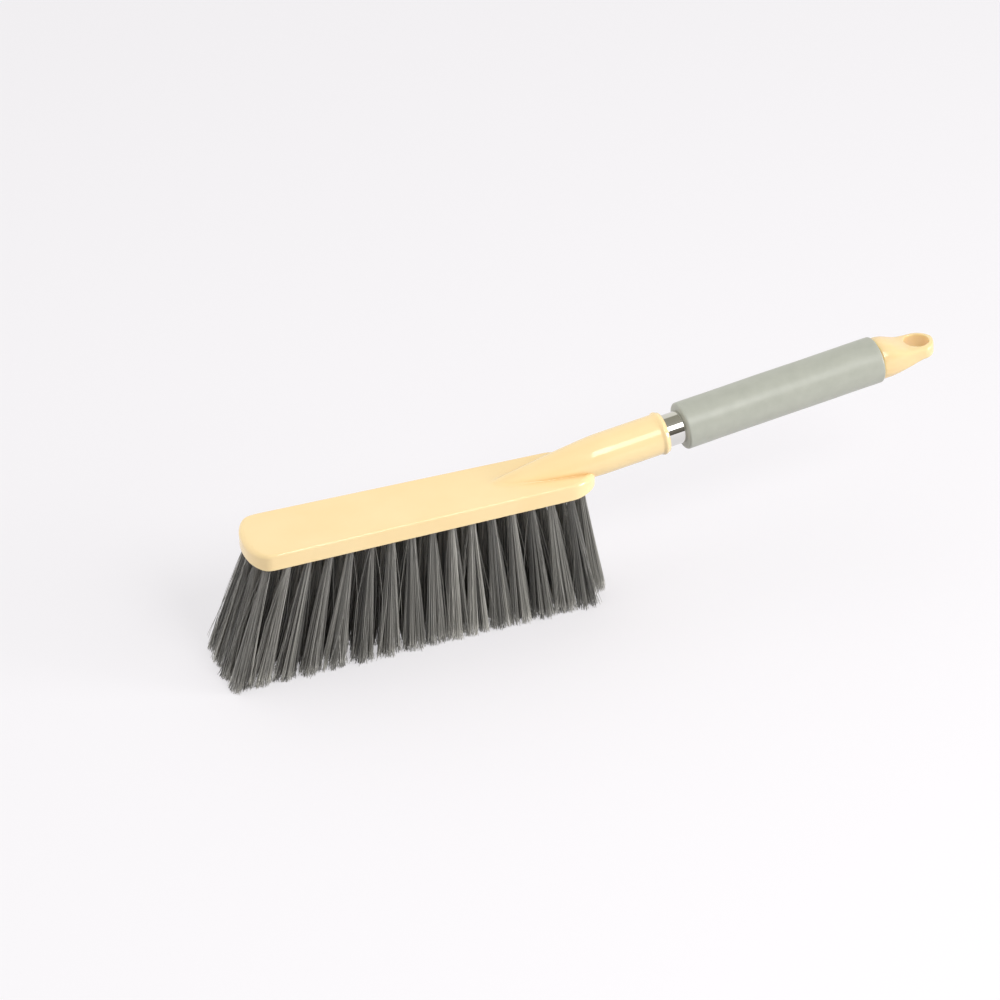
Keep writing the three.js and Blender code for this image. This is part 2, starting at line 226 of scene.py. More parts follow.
def bow(tip, direction, depth, half_width, fullness):
    """Half-round end of the block's plan, from its right side to its left as seen from the middle."""
    angle = numpy.linspace(-math.pi / 2, math.pi / 2, 400)
    across = numpy.sign(numpy.sin(angle)) * numpy.abs(numpy.sin(angle)) ** (2 / fullness)
    along = numpy.maximum(0, numpy.cos(angle)) ** (2 / BOW_ROUNDNESS)
    return numpy.stack([tip + direction * depth * (along - 1), direction * half_width * across], axis=1)


def spread_evenly(points, count):
    """The same closed line with its points at even distances."""
    closed = numpy.concatenate([points, points[:1]])
    run = numpy.concatenate([[0], numpy.cumsum(numpy.linalg.norm(numpy.diff(closed, axis=0), axis=1))])
    places = numpy.linspace(0, run[-1], count, endpoint=False)
    return numpy.stack([numpy.interp(places, run, closed[:, i]) for i in (0, 1)], axis=1)


def eased(points, reach):
    """The same closed line with its corners rounded over a number of points."""
    weights = numpy.exp(-0.5 * (numpy.arange(-3 * reach, 3 * reach + 1) / reach) ** 2)
    turned = [numpy.roll(points, i, axis=0) for i in range(-3 * reach, 3 * reach + 1)]
    return sum(w * p for w, p in zip(weights, turned)) / weights.sum()


plan = numpy.concatenate([
    bow(FRONT_TIP + BLOCK_LENGTH, 1, REAR_BOW, REAR_HALF_WIDTH, REAR_FULLNESS),
    bow(FRONT_TIP, -1, FRONT_BOW, FRONT_HALF_WIDTH, FRONT_FULLNESS),
])
plan = spread_evenly(plan, PLAN_POINTS)

# Corners of the plan, rounded over a few points, and over more of them in front
FRONT_PART = 60 * MM
REAR_CORNER = 3
FRONT_CORNER = 4
front_share = numpy.clip((FRONT_TIP + FRONT_PART - plan[:, :1]) / (FRONT_PART / 2), 0, 1)
plan = eased(plan, REAR_CORNER) * (1 - front_share) + eased(plan, FRONT_CORNER) * front_share
slope = numpy.roll(plan, -1, axis=0) - numpy.roll(plan, 1, axis=0)
inwards = numpy.stack([-slope[:, 1], slope[:, 0]], axis=1) / numpy.linalg.norm(slope, axis=1)[:, None]

# Edges of the slab: almost sharp underneath, softer on top and softest over the two ends
LOWER_EDGE_RADIUS = 0.5 * MM
SIDE_EDGE_RADIUS = 1.2 * MM
END_EDGE_EXTRA = 2 * MM
END_REACH = 14 * MM
REAR_END_START = 184 * MM
into_front = numpy.clip((FRONT_TIP + END_REACH - plan[:, 0]) / END_REACH, 0, 1)
into_rear = numpy.clip((plan[:, 0] - FRONT_TIP - REAR_END_START) / END_REACH, 0, 1)
top_edge_radius = SIDE_EDGE_RADIUS + END_EDGE_EXTRA * (into_front + into_rear)


def block_ring(inset, height):
    """The block's outline, drawn in by an inset, at a height over its underside."""
    line = plan + inwards * numpy.reshape(inset, (-1, 1))
    level = UNDERSIDE + numpy.broadcast_to(height, PLAN_POINTS)
    return [(x, y, z) for (x, y), z in zip(line.tolist(), level.tolist())]


def select_only(piece):
    """Selects one piece and makes it the one that operators act on."""
    bpy.ops.object.select_all(action="DESELECT")
    piece.select_set(True)
    bpy.context.view_layer.objects.active = piece


def loft(name, rings):
    """A closed skin over a stack of rings with the same number of points."""
    count = len(rings[0])
    faces = [list(range(count)), list(range((len(rings) - 1) * count, len(rings) * count))]
    for low in range(0, (len(rings) - 1) * count, count):
        for i in range(count):
            j = (i + 1) % count
            faces.append((low + i, low + j, low + count + j, low + count + i))
    mesh = bpy.data.meshes.new(name)
    mesh.from_pydata(sum(rings, []), [], faces)
    piece = bpy.data.objects.new(name, mesh)
    scene.collection.objects.link(piece)
    select_only(piece)
    bpy.ops.object.mode_set(mode="EDIT")
    bpy.ops.mesh.select_all(action="SELECT")
    bpy.ops.mesh.normals_make_consistent(inside=False)
    bpy.ops.object.mode_set(mode="OBJECT")
    return piece


rings = []
for step in range(4):
    angle = math.pi / 2 * step / 3
    height = LOWER_EDGE_RADIUS * (1 - math.cos(angle))
    rings.append(block_ring(LOWER_EDGE_RADIUS * (1 - math.sin(angle)), height))
for step in range(9):
    angle = math.pi / 2 * step / 8
    height = BLOCK_THICKNESS - top_edge_radius * (1 - math.sin(angle))
    rings.append(block_ring(top_edge_radius * (1 - math.cos(angle)), height))
block = loft("block_and_socket", rings)

# Blind tuft holes in four rows, which draw together as the block narrows
TUFT_PITCH = 11.8 * MM
OUTER_SHARE = 0.71
INNER_SHARE = 0.24
OUTER_LEAD = 9.5 * MM
INNER_LEAD = 7.5 * MM
OUTER_TUFTS = 16
INNER_TUFTS = 17
HOLE_RADIUS = 2.75 * MM
HOLE_DEPTH = 7 * MM
CUT_MARGIN = 1 * MM
narrowing = (FRONT_HALF_WIDTH - REAR_HALF_WIDTH) / (HANDLE_START - FRONT_BOW)


def half_width_at(x):
    """Half of the block's width at a distance from its front tip."""
    return FRONT_HALF_WIDTH - narrowing * (x - FRONT_BOW)


def combine(piece, tool, operation):
    """Joins a tool's shape to a piece, or cuts it out of the piece, and removes the tool."""
    cut = piece.modifiers.new("cut", "BOOLEAN")
    cut.operation = operation
    cut.solver = "EXACT"
    cut.object = tool
    bpy.context.view_layer.objects.active = piece
    bpy.ops.object.modifier_apply(modifier=cut.name)
    bpy.data.objects.remove(tool)


rows = []
for share, lead, count in [(OUTER_SHARE, OUTER_LEAD, OUTER_TUFTS), (INNER_SHARE, INNER_LEAD, INNER_TUFTS)]:
    stations = [lead + i * TUFT_PITCH for i in range(count)]
    rows.append([(x, -share * half_width_at(x)) for x in stations])
rows += [[(x, -y) for x, y in row] for row in reversed(rows)]
bpy.ops.object.select_all(action="DESELECT")
cut_length = HOLE_DEPTH + CUT_MARGIN
cut_middle = UNDERSIDE + (HOLE_DEPTH - CUT_MARGIN) / 2
holes = []
for x, y in sum(rows, []):
    place = (FRONT_TIP + x, y, cut_middle)
    bpy.ops.mesh.primitive_cylinder_add(vertices=24, radius=HOLE_RADIUS, depth=cut_length, location=place)
    holes.append(bpy.context.object)
for hole in holes:
    hole.select_set(True)
bpy.ops.object.join()
bpy.ops.object.transform_apply()
combine(block, bpy.context.object, "DIFFERENCE")

# Socket, turned about its own axis and then tilted up with the handle
HANDLE_TILT = math.radians(7.7)
HANDLE_FOOT = (FRONT_TIP + HANDLE_START, 0, UNDERSIDE + 11 * MM)
SOCKET_RADIUS = 11.8 * MM
SOCKET_REACH = 61 * MM
SOCKET_CUT = 0.5 * MM
SLEEVE_START = 22 * MM
NOSE_LENGTH = 70 * MM
NOSE_TAPER = 7.2 * MM
NOSE_CURVE = 1.25
BORE_RADIUS = 9.6 * MM
BORE_DEPTH = 40 * MM
BORE_CHAMFER = 0.4 * MM
BEAD_WIDTH = 4.6 * MM
BEAD_HEIGHT = 0.8 * MM


def seat_on_handle(piece):
    """Places a piece that was modelled along X on the handle's line, with its place in its mesh."""
    piece.location = HANDLE_FOOT
    piece.rotation_euler = (0, -HANDLE_TILT, 0)
    select_only(piece)
    bpy.ops.object.transform_apply()


def turn(name, profile, steps):
    """A piece turned about X from a profile of distances along the axis and radii."""
    points = [(along, 0, radius) for along, radius in profile]
    edges = [(i, i + 1) for i in range(len(profile) - 1)]
    mesh = bpy.data.meshes.new(name)
    mesh.from_pydata(points, edges, [])
    piece = bpy.data.objects.new(name, mesh)
    scene.collection.objects.link(piece)
    select_only(piece)
    bpy.ops.object.mode_set(mode="EDIT")
    bpy.ops.mesh.select_all(action="SELECT")
    bpy.ops.mesh.spin(steps=steps, angle=2 * math.pi, center=(0, 0, 0), axis=(1, 0, 0))
    bpy.ops.mesh.select_all(action="SELECT")
    bpy.ops.mesh.remove_doubles(threshold=1e-6)
    bpy.ops.mesh.normals_make_consistent(inside=False)
    bpy.ops.object.mode_set(mode="OBJECT")
    return piece


before_sleeve = numpy.linspace(1, 0, 3000)
nose_along = SLEEVE_START - NOSE_LENGTH * before_sleeve
nose_line = numpy.stack([nose_along, SOCKET_RADIUS - NOSE_TAPER * before_sleeve ** NOSE_CURVE], axis=1)
profile = [(SLEEVE_START - NOSE_LENGTH, 0)] + nose_line[::75].tolist()
bead_start = SOCKET_REACH - BEAD_WIDTH
for i in range(9):
    profile.append((SLEEVE_START + (bead_start - SLEEVE_START) * i / 8, SOCKET_RADIUS))
for i in range(1, 13):
    bulge = BEAD_HEIGHT * math.sin(math.pi * i / 12) ** 2
    profile.append((bead_start + BEAD_WIDTH * i / 12, SOCKET_RADIUS + bulge))
bore_floor = SOCKET_REACH - BORE_DEPTH
profile += [(SOCKET_REACH, BORE_RADIUS + BORE_CHAMFER), (SOCKET_REACH - BORE_CHAMFER, BORE_RADIUS)]
profile += [(bore_floor, BORE_RADIUS), (bore_floor, 0)]
socket = turn("socket", profile, 96)
seat_on_handle(socket)
bpy.ops.object.mode_set(mode="EDIT")
bpy.ops.mesh.select_all(action="SELECT")
cut_level = (0, 0, UNDERSIDE + SOCKET_CUT)
bpy.ops.mesh.bisect(plane_co=cut_level, plane_no=(0, 0, 1), clear_inner=True, use_fill=True)
bpy.ops.object.mode_set(mode="OBJECT")
combine(block, socket, "UNION")

# Rounded crease where the nose leaves the slab: a ball rolled along it, large at the nose's tip
CREASE_RADIUS = 0.25 * MM
CREASE_TIP_EXTRA = 20 * MM
CREASE_TAPER = 3.2
CREASE_END = FRONT_TIP + 197 * MM
CREASE_STEPS = 60
CREASE_LAP = 0.2 * MM
CREASE_ROOT = 0.5 * MM
CREASE_LIFT = 0.005 * MM
NOSE_TIP_FROM = FRONT_TIP + 136 * MM
NOSE_TIP_TO = FRONT_TIP + 170 * MM
NOSE_TIP_MARGIN = 0.001 * MM
NOSE_FLANK_END = 20 * MM
handle_axis = Vector((math.cos(HANDLE_TILT), 0, math.sin(HANDLE_TILT)))
handle_up = Vector((-math.sin(HANDLE_TILT), 0, math.cos(HANDLE_TILT)))
top = UNDERSIDE + BLOCK_THICKNESS
nose_line = nose_line[nose_line[:, 0] < NOSE_FLANK_END]
nose_slope = numpy.gradient(nose_line, axis=0)
nose_slope /= numpy.linalg.norm(nose_slope, axis=1)[:, None]


def nose_gap(point):
    """Distance of a point from the nose's surface, and the direction away from it."""
    offset = point - Vector(HANDLE_FOOT)
    from_axis = Vector((0, point.y, 0)) + offset.dot(handle_up) * handle_up
    spot = numpy.array([offset.dot(handle_axis), from_axis.length])
    nearest = numpy.argmin(((nose_line - spot) ** 2).sum(axis=1))
    along, radius = nose_slope[nearest].tolist()
    gap = float((spot - nose_line[nearest]) @ (-radius, along))
    return gap, (from_axis.normalized() * along - handle_axis * radius).normalized()


def solve(gap, low, high):
    """The value between two others at which a rising gap closes."""
    for _ in range(40):
        middle = (low + high) / 2
        low, high = (middle, high) if gap(middle) < 0 else (low, middle)
    return (low + high) / 2


nose_tip = solve(lambda x: -nose_gap(Vector((x, 0, top)))[0], NOSE_TIP_FROM, NOSE_TIP_TO)
nose_tip += NOSE_TIP_MARGIN


def crease_ring(way):
    """Points over the fillet at one place on the crease; way runs from -1 to 1 around the nose's tip."""
    x = nose_tip + (CREASE_END - nose_tip) * way * way
    y = solve(lambda y: nose_gap(Vector((x, y, top)))[0], 0, 20 * MM) * (1 if way > 0 else -1)
    runs_out = min(1, (1.02 - abs(way)) * 12)
    radius = (CREASE_RADIUS + CREASE_TIP_EXTRA * (1 - abs(way)) ** CREASE_TAPER) * runs_out
    foot = Vector((x, y, top))
    away = nose_gap(foot)[1]
    away = Vector((away.x, away.y, 0)).normalized()
    ball = Vector((0, 0, radius))
    reach = solve(lambda d: nose_gap(foot + ball + away * d)[0] - radius, -radius, 4 * radius)
    centre = foot + ball + away * reach
    touch = centre.copy()
    for _ in range(6):
        gap, off_nose = nose_gap(touch)
        touch -= gap * off_nose
    nose_side = (touch - centre).normalized()
    down = Vector((0, 0, -1))
    uphill = (nose_side * down.dot(nose_side) - down).normalized()
    arc = [centre + radius * down.slerp(nose_side, i / 10) for i in range(10)]
    ring = [arc[0] + away * CREASE_LAP] + arc + [touch, touch + uphill * CREASE_LAP]
    buried = foot - away * CREASE_ROOT - Vector((0, 0, CREASE_ROOT))
    return [tuple(p + Vector((0, 0, CREASE_LIFT))) for p in ring] + [tuple(buried)]


crease = loft("crease", [crease_ring(i / CREASE_STEPS) for i in range(-CREASE_STEPS, CREASE_STEPS + 1)])
select_only(block)
crease.select_set(True)
bpy.ops.object.join()


def smooth(piece, degrees):
    """Shades a piece smooth up to an angle, and keeps its flat faces flat."""
    select_only(piece)
    bpy.ops.object.shade_smooth_by_angle(angle=math.radians(degrees))
    weigh = piece.modifiers.new("weigh", "WEIGHTED_NORMAL")
    weigh.keep_sharp = True
    bpy.ops.object.modifier_apply(modifier=weigh.name)


smooth(block, 30)

# Injection-moulded polypropylene in cream: an even, slightly waxy gloss, faint clouds in the colour where
# the melt flowed, a tone painted into creases and hollows as painted light, standing in for their shade and
# for light bounced from wall to wall, and a skin that is never quite flat.
CLOUD_SIZE = 35 * MM
SKIN_GRAIN = 1.2 * MM
SKIN_RELIEF = 0.1 * MM
PAINTED_CREASE_LIGHT_REACH = 4 * MM


def new_finish(name, **constants):
    """A new material, with the values that are the same all over it set on its shader."""
    material = bpy.data.materials.new(name)
    material.use_nodes = True
    shader = material.node_tree.nodes["Principled BSDF"]
    for socket, value in constants.items():
        shader.inputs[socket.replace("_", " ")].default_value = value
    return material, material.node_tree, shader


def moulded_cream(name, cloud_codes, painted_crease_light_code):
    """Cream plastic that clouds between two colours, with a third painted into its hollows as painted
    light.
    """
    material, tree, shader = new_finish(name, IOR=1.49, Roughness=0.05)
    surface = add_node(tree, "TexCoord").outputs["Object"]
    clouds = add_node(tree, "TexNoise", {"Vector": surface, "Scale": 1 / CLOUD_SIZE, "Detail": 3.0})
    tint = add_node(tree, "ValToRGB", {0: clouds.outputs["Fac"]})
    for element, position, code in zip(tint.color_ramp.elements, (0.3, 0.7), cloud_codes):
        element.position = position
        element.color = colour(code)
    # Painted light: where occlusion finds close walls, the colour turns to the third one, a painted shade
    # on the block and a painted glow on the cap.
    crease_occlusion = add_node(tree, "AmbientOcclusion", {"Distance": PAINTED_CREASE_LIGHT_REACH}, samples=8)
    depth = add_node(tree, "MapRange", {
        "Value": crease_occlusion.outputs["AO"],
        "From Min": 0.5,
        "From Max": 0.95,
        "To Min": 1.0,
        "To Max": 0.0,
    })
    painted_crease_light_mix = add_node(tree, "Mix", {
        0: depth.outputs[0],
        MIX_A: tint.outputs[0],
        MIX_B: colour(painted_crease_light_code),
    }, data_type="RGBA")
    tree.links.new(painted_crease_light_mix.outputs[MIX_RESULT], shader.inputs["Base Color"])
    skin = add_node(tree, "TexNoise", {"Vector": surface, "Scale": 1 / SKIN_GRAIN, "Detail": 2.0})
    dents = add_node(tree, "Bump", {
        "Height": skin.outputs["Fac"],
        "Strength": 0.04,
        "Distance": SKIN_RELIEF,
    })
    tree.links.new(dents.outputs[0], shader.inputs["Normal"])
    return material


# Its third colour, darker, is painted shade in the creases around the nose and the bead.
cream = moulded_cream("moulded_polypropylene", ["#FDDFA6", "#FFE4AE"], "#EDC384")
block.data.materials.clear()
block.data.materials.append(cream)
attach(block, "root")
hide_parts("brush_block")


# The bristles: 66 tufts of dark grey polypropylene filament in four rows. Each tuft is a bundle folded
# over a staple in its hole, so it leaves the block tight and round, opens towards its tip, and was
# trimmed level with the others; the rows fan out forwards, backwards and to the sides.
BRISTLE_LENGTH = UNDERSIDE
FORWARD_LEAN = math.radians(17.5)
BACKWARD_LEAN = math.radians(7)
SIDE_LEAN = math.radians(4.8)
UPRIGHT_SHARE = 0.6
STRANDS = 230
STRAND_RADIUS = 0.16 * MM
STRAND_SIDES = 3
TUFT_RADIUS = 1.9 * MM
LEVELS = numpy.array([-0.04, 0.0, 0.25, 0.5, 0.75, 0.94, 1.0])
GOLDEN_ANGLE = 2.39996
FULL_TURN = 6.28
chance = numpy.random.default_rng(7)

# Filaments cling together in locks, which open along the block more than across it
LOCKS = 14
LOCK_SPAN = 0.85 * TUFT_RADIUS
LOCK_SPREADS = [3.9, 3.2]
SPREAD_ERROR = 0.3
LOCK_DRIFT = 0.8 * MM
STRANDS_SPREAD = 2.8
SPLAY_CURVE = 1.1
LOCK_TONE_SHARE = 0.55

# A few stray filaments stand out, bend more and end short
STRAY_SHARE = 0.07
SCATTER = 0.35 * MM
STRAY_SCATTER = 3.4 * MM
BEND = 0.18 * MM
STRAY_BEND = 2.0 * MM
TIP_KINK = 0.55 * MM
TRIM_ERROR = 0.9 * MM
STRAY_SHORTFALL = 5 * MM

# No filament leaves the room that the brush takes up
box_low = numpy.array(solid_box[0][:2])
box_high = numpy.array(solid_box[1][:2])
EDGE_ROOM = STRAND_RADIUS + 0.05 * MM
FLARE_ROOM = 9 * MM


def tuft_lean(x, y):
    """How far a tuft's tip stands from its root, along and across the block."""
    share = (x - OUTER_LEAD) / ((OUTER_TUFTS - 1) * TUFT_PITCH)
    rise = min(1, max(0, share / UPRIGHT_SHARE))
    forwards = FORWARD_LEAN * (1 - rise * rise * (3 - 2 * rise))
    backwards = BACKWARD_LEAN * max(0, (share - UPRIGHT_SHARE) / (1 - UPRIGHT_SHARE))
    sideways = SIDE_LEAN * y / (OUTER_SHARE * half_width_at(x))
    return BRISTLE_LENGTH * numpy.array([math.tan(backwards) - math.tan(forwards), math.tan(sideways)])


def sunflower(count, radius):
    """Points spread evenly over a round tuft."""
    order = numpy.arange(count)
    distance = radius * numpy.sqrt((order + 0.5) / count)
    angle = order * GOLDEN_ANGLE + chance.uniform(0, FULL_TURN)
    return numpy.stack([distance * numpy.cos(angle), distance * numpy.sin(angle)], axis=1)


def tuft_strands(x, y):
    """Centre lines of one tuft's filaments, by filament, level and coordinate, and each one's tone."""
    offset = sunflower(STRANDS, TUFT_RADIUS)
    middles = sunflower(LOCKS, LOCK_SPAN)
    lock = numpy.argmin(((offset[:, None] - middles[None]) ** 2).sum(axis=2), axis=1)
    opening = chance.normal(LOCK_SPREADS, SPREAD_ERROR, (LOCKS, 2))
    drift = chance.normal(0, LOCK_DRIFT, (LOCKS, 2))
    stray = chance.random(STRANDS) < STRAY_SHARE
    scatter = numpy.where(stray, STRAY_SCATTER, SCATTER)[:, None] * chance.normal(0, 1, (STRANDS, 2))
    opened = (middles * opening + drift)[lock] + (offset - middles[lock]) * STRANDS_SPREAD + scatter
    root = numpy.array([FRONT_TIP + x, y])
    lean = tuft_lean(x, y)
    room = [root + lean - EDGE_ROOM - box_low, box_high - EDGE_ROOM - root - lean]
    opened *= numpy.where(opened < 0, *[numpy.minimum(1, side / FLARE_ROOM) for side in room])
    bend = numpy.where(stray, STRAY_BEND, BEND)[:, None] * chance.normal(0, 1, (STRANDS, 2))
    down = LEVELS[None, :, None]
    splay = numpy.clip(down, 0, 1) ** SPLAY_CURVE
    line = root + lean * down + offset[:, None] * (1 - splay) + opened[:, None] * splay
    line = line + bend[:, None] * numpy.sin(math.pi * numpy.clip(down, 0, 1))
    line[:, -1] += chance.normal(0, TIP_KINK, (STRANDS, 2))
    line = numpy.clip(line, box_low + EDGE_ROOM, box_high - EDGE_ROOM)
    short = numpy.abs(chance.normal(0, TRIM_ERROR, STRANDS))
    short += stray * chance.uniform(0, STRAY_SHORTFALL, STRANDS)
    height = UNDERSIDE - (BRISTLE_LENGTH - short)[:, None] * LEVELS[None, :]
    tone = LOCK_TONE_SHARE * chance.random(LOCKS)[lock]
    tone += (1 - LOCK_TONE_SHARE) * chance.random(STRANDS)
    return numpy.concatenate([line, height[:, :, None]], axis=2), tone


def bristle_row(name, tufts):
    """All the filaments of one row as one mesh, with a map of filament tone and distance from the root."""
    bundles = [tuft_strands(x, y) for x, y in tufts]
    lines = numpy.concatenate([bundle[0] for bundle in bundles])
    tones = numpy.concatenate([bundle[1] for bundle in bundles])
    count = len(lines)
    steps = len(LEVELS)
    first_corner = chance.uniform(0, FULL_TURN, count)[:, None]
    angle = first_corner + numpy.arange(STRAND_SIDES) * 2 * math.pi / STRAND_SIDES
    around = numpy.stack([numpy.cos(angle), numpy.sin(angle), numpy.zeros_like(angle)], axis=2)
    points = lines[:, :, None] + STRAND_RADIUS * around[:, None]
    points[:, :, :, 2] = numpy.maximum(points[:, :, :, 2], 0)
    faces = []
    for first in range(0, count * steps * STRAND_SIDES, steps * STRAND_SIDES):
        faces.append(tuple(first + i for i in range(STRAND_SIDES)))
        for level in range(steps - 1):
            ring = first + level * STRAND_SIDES
            for i in range(STRAND_SIDES):
                j = (i + 1) % STRAND_SIDES
                faces.append((ring + i, ring + STRAND_SIDES + i, ring + STRAND_SIDES + j, ring + j))
        last = first + (steps - 1) * STRAND_SIDES
        faces.append(tuple(last + i for i in reversed(range(STRAND_SIDES))))
    mesh = bpy.data.meshes.new(name)
    mesh.from_pydata(points.reshape(-1, 3), [], faces)
    strand_map = mesh.uv_layers.new(name="strand")
    corner = numpy.empty(len(mesh.loops), dtype=int)
    mesh.loops.foreach_get("vertex_index", corner)
    tone_of = tones[corner // (steps * STRAND_SIDES)]
    way_down = numpy.clip(LEVELS, 0, 1)[corner // STRAND_SIDES % steps]
    strand_map.data.foreach_set("uv", numpy.stack([tone_of, way_down], axis=1).ravel())
    piece = bpy.data.objects.new(name, mesh)
    scene.collection.objects.link(piece)
    mesh.shade_smooth()
    return piece


# Extruded polypropylene filament: dark grey, with a soft shine along each filament. Filaments differ in
# tone, their cut tips scatter light and look paler, and near the root the colour is painted darker as a
# painted shade under the block.
filament, tree, shader = new_finish("polypropylene_filament", IOR=1.8, Roughness=0.3)
strand = add_node(tree, "SeparateXYZ", {0: add_node(tree, "UVMap", uv_map="strand").outputs[0]})
along = add_node(tree, "ValToRGB", {0: strand.outputs["Y"]})
# Painted shade: darker at the root, where the block shades the filaments.
along.color_ramp.elements[0].color = colour("#878580")
along.color_ramp.elements[1].color = colour("#D2D0C8")
for position, code in [(0.15, "#93918B"), (0.9, "#9A9891")]:
    element = along.color_ramp.elements.new(position)
    element.color = colour(code)
tone = add_node(tree, "MapRange", {
    "Value": strand.outputs["X"],
    "From Min": 0.1,
    "From Max": 0.9,
    "To Min": 0.22,
    "To Max": 1.75,
})
varied = add_node(tree, "Mix", {
    0: 1.0,
    MIX_A: along.outputs[0],
    MIX_B: tone.outputs[0],
}, data_type="RGBA", blend_type="MULTIPLY")
tree.links.new(varied.outputs[MIX_RESULT], shader.inputs["Base Color"])
for number, tufts in enumerate(rows, 1):
    row = bristle_row(f"bristle_tufts_{number}", tufts)
    row.data.materials.append(filament)
    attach(row, "root")
    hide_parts(f"bristle_row_{number}")


# The handle tube: thin-walled steel tube, drawn, polished and chromium plated, pressed into the socket
# at one end and closed by the end cap at the other. Only a short length shows between socket and grip.
TUBE_RADIUS = 9.5 * MM
TUBE_WALL = 0.6 * MM
GRIP_START = 72.2 * MM
GRIP_END = 196.6 * MM
inner = TUBE_RADIUS - TUBE_WALL
profile = [(bore_floor, inner), (bore_floor, TUBE_RADIUS), (GRIP_END, TUBE_RADIUS), (GRIP_END, inner)]
tube = turn("chromed_tube", profile + profile[:1], 128)
seat_on_handle(tube)
smooth(tube, 30)

# Chromium plate: a mirror, a little blurred by the drawing lines along the tube, which are drawn coarser
# than they are, so that they show.
DRAWING_LINE = 0.25 * MM
LINE_STRETCH = 0.02
chrome, tree, shader = new_finish("chromium_plate", Metallic=1.0, Base_Color=colour("#DEDDDA"))
surface = add_node(tree, "TexCoord").outputs["Object"]
drawn = add_node(tree, "Mapping", {
    0: surface,
    "Rotation": (0, HANDLE_TILT, 0),
    "Scale": (LINE_STRETCH, 1.0, 1.0),
})
lines = add_node(tree, "TexNoise", {"Vector": drawn.outputs[0], "Scale": 1 / DRAWING_LINE, "Detail": 2.0})
blur = add_node(tree, "MapRange", {"Value": lines.outputs["Fac"], "To Min": 0.03, "To Max": 0.1})
tree.links.new(blur.outputs[0], shader.inputs["Roughness"])
tube.data.materials.append(chrome)
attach(tube, "root")
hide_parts("handle_tube")


# The foam grip: a sleeve of closed-cell foam, cut from an extruded hose and pushed over the tube. It is
# soft, so its outline is never quite straight, and its cut ends are worn round.
GRIP_RADIUS = 13.75 * MM
GRIP_END_RADIUS = 1.2 * MM
LUMP_SIZE = 40 * MM
LUMP_HEIGHT = 0.4 * MM
profile = [(GRIP_START, TUBE_RADIUS)]
for step in range(9):
    angle = math.pi / 2 * step / 8
    inset = GRIP_END_RADIUS * (1 - math.cos(angle))
    profile.append((GRIP_START + inset, GRIP_RADIUS - GRIP_END_RADIUS * (1 - math.sin(angle))))
rounded_end = list(profile)
straight = GRIP_END - GRIP_START - 2 * GRIP_END_RADIUS
for step in range(1, 70):
    profile.append((GRIP_START + GRIP_END_RADIUS + straight * step / 70, GRIP_RADIUS))
profile += [(GRIP_START + GRIP_END - along, radius) for along, radius in reversed(rounded_end)]
grip = turn("foam_sleeve", profile + profile[:1], 96)
seat_on_handle(grip)
lumps = bpy.data.textures.new("foam_lumps", "CLOUDS")
lumps.noise_scale = LUMP_SIZE
swelling = grip.modifiers.new("lumps", "DISPLACE")
swelling.texture = lumps
swelling.texture_coords = "LOCAL"
swelling.strength = LUMP_HEIGHT
swelling.mid_level = 0.55
bpy.ops.object.modifier_apply(modifier=swelling.name)
smooth(grip, 60)

# Closed-cell foam with a moulded skin: matte grey-green, finely pored, with a dull broad sheen. The pores
# are drawn a little coarser than they are, so that they show.
MOTTLE_SIZE = 7 * MM
PORE_SIZE = 0.55 * MM
PORE_DEPTH = 0.1 * MM
foam, tree, shader = new_finish("closed_cell_foam", IOR=1.5, Roughness=0.33)
surface = add_node(tree, "TexCoord").outputs["Object"]
mottle = add_node(tree, "TexNoise", {"Vector": surface, "Scale": 1 / MOTTLE_SIZE, "Detail": 4.0})
tint = add_node(tree, "ValToRGB", {0: mottle.outputs["Fac"]})
for element, position, code in zip(tint.color_ramp.elements, (0.3, 0.7), ("#AFB1A5", "#B6B8AC")):
    element.position = position
    element.color = colour(code)
tree.links.new(tint.outputs[0], shader.inputs["Base Color"])
pores = add_node(tree, "TexVoronoi", {"Vector": surface, "Scale": 1 / PORE_SIZE})
pitted = add_node(tree, "Bump", {
    "Height": pores.outputs["Distance"],
    "Strength": 0.25,
    "Distance": PORE_DEPTH,
})
tree.links.new(pitted.outputs[0], shader.inputs["Normal"])
grip.data.materials.append(foam)
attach(grip, "root")
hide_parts("foam_grip")


# The end cap: moulded from the same cream polypropylene as the block. A ribbed plug holds it in the tube,
# its round collar covers the end of the grip, and its neck flattens into a loop with the hanging eye.
CAP_START = 196.9 * MM
CAP_LENGTH = 36.8 * MM
COLLAR_RADIUS = 12.2 * MM
NECK_LENGTH = 20 * MM
NECK_TAPER = 1.5
LOOP_RADIUS = 9.9 * MM
LOOP_HEIGHT = 9.8 * MM
LOOP_TILT = math.radians(6)
LOOP_DROP = 1.22 * MM
LOOP_CENTRE = CAP_LENGTH - LOOP_RADIUS
CAP_POINTS = 96


def ease(value):
    """A soft step from 0 to 1."""
    value = min(1, max(0, value))
    return value * value * (3 - 2 * value)


def cap_ring(along, half_width):
    """The cap's section at a distance from its collar, round at the collar and boxy on the loop."""
    flatten = ease(along / NECK_LENGTH)
    taper = min(1, along / LOOP_CENTRE) ** NECK_TAPER
    lift = (LOOP_CENTRE - along) * math.tan(LOOP_TILT) - LOOP_DROP
    upper = COLLAR_RADIUS + (lift + LOOP_HEIGHT / 2 - COLLAR_RADIUS) * flatten
    lower = COLLAR_RADIUS + (LOOP_HEIGHT / 2 - lift - COLLAR_RADIUS) * taper
    roundness = 2 / (2 + 2 * min(1, along / NECK_LENGTH))
    ring = []
    for i in range(CAP_POINTS):
        angle = 2 * math.pi * i / CAP_POINTS
        across = math.copysign(abs(math.cos(angle)) ** roundness, math.cos(angle))
        upwards = math.copysign(abs(math.sin(angle)) ** roundness, math.sin(angle))
        ring.append((CAP_START + along, half_width * across, (upper if upwards > 0 else lower) * upwards))
    return ring


